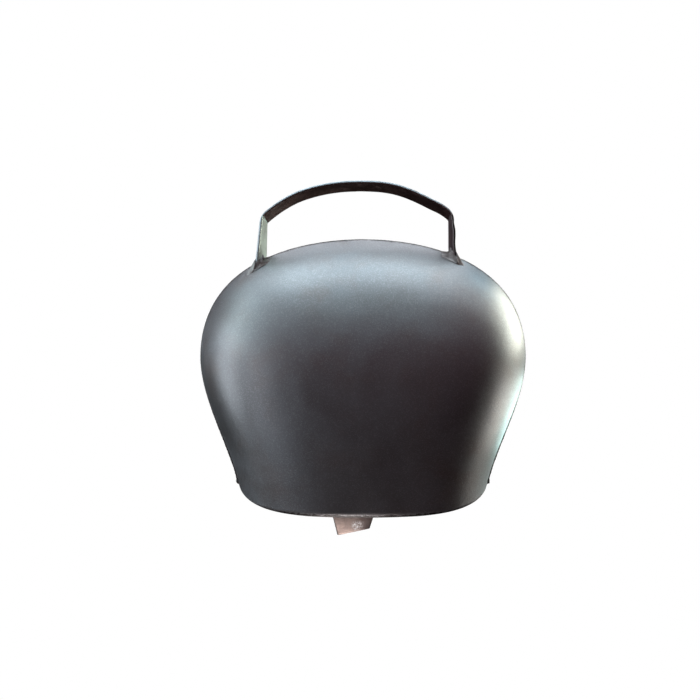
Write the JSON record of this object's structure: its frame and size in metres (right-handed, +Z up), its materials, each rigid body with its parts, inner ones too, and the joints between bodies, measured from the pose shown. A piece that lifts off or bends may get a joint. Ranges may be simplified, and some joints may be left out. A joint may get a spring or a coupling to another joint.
{
  "type": "cowbell",
  "caption": "Sheet-steel Alpine cowbell: two pressed shells welded along a seam, a flat-bar strap handle and a free-swinging forged clapper.",
  "frame": {"origin": "middle of the underside of the handle arch, where the collar strap bears", "axes": "+Z up through the handle, +Y from the front face to the back, +X to the right seen from the front"},
  "size_m": [0.2366, 0.1382, 0.2505],
  "materials": {
    "shell_paint": "satin dark gunmetal paint with a fine metallic grain",
    "handle_steel": "dark mill scale, rubbed bright on the edges",
    "weld_metal": "lumpy arc weld, partly painted over",
    "hanging_steel": "dull round bar with light rust, polished where bars rub",
    "forged_iron": "forged, rusty brown with bright worn spots"
  },
  "bodies": {
    "bell": {"front_shell": "shell_paint", "rear_shell": "shell_paint", "seam_weld_left": "weld_metal", "seam_weld_crown": "weld_metal", "seam_weld_right": "weld_metal", "handle_strap": "handle_steel", "handle_weld_left_outer": "weld_metal", "handle_weld_left_inner": "weld_metal", "handle_weld_right_outer": "weld_metal", "handle_weld_right_inner": "weld_metal", "clapper_staple": "hanging_steel", "staple_weld_left": "weld_metal", "staple_weld_right": "weld_metal"},
    "link": {"hanging_link": "hanging_steel", "link_weld": "weld_metal"},
    "clapper": {"clapper_eye": "hanging_steel", "eye_weld": "weld_metal", "clapper_shank": "hanging_steel", "striker_weld": "weld_metal", "striker": "forged_iron"}
  },
  "joints": [
    {"name": "link_swing", "type": "hinge", "parent": "bell", "child": "link", "pos_m": [-0.0025, 0, -0.06143], "axis": [1, 0, 0], "range_deg": [-18, 18]},
    {"name": "clapper_swing", "type": "hinge", "parent": "link", "child": "clapper", "pos_m": [-0.0025, 0, -0.07963], "axis": [0, 1, 0], "range_deg": [-14, 9]}
  ]
}
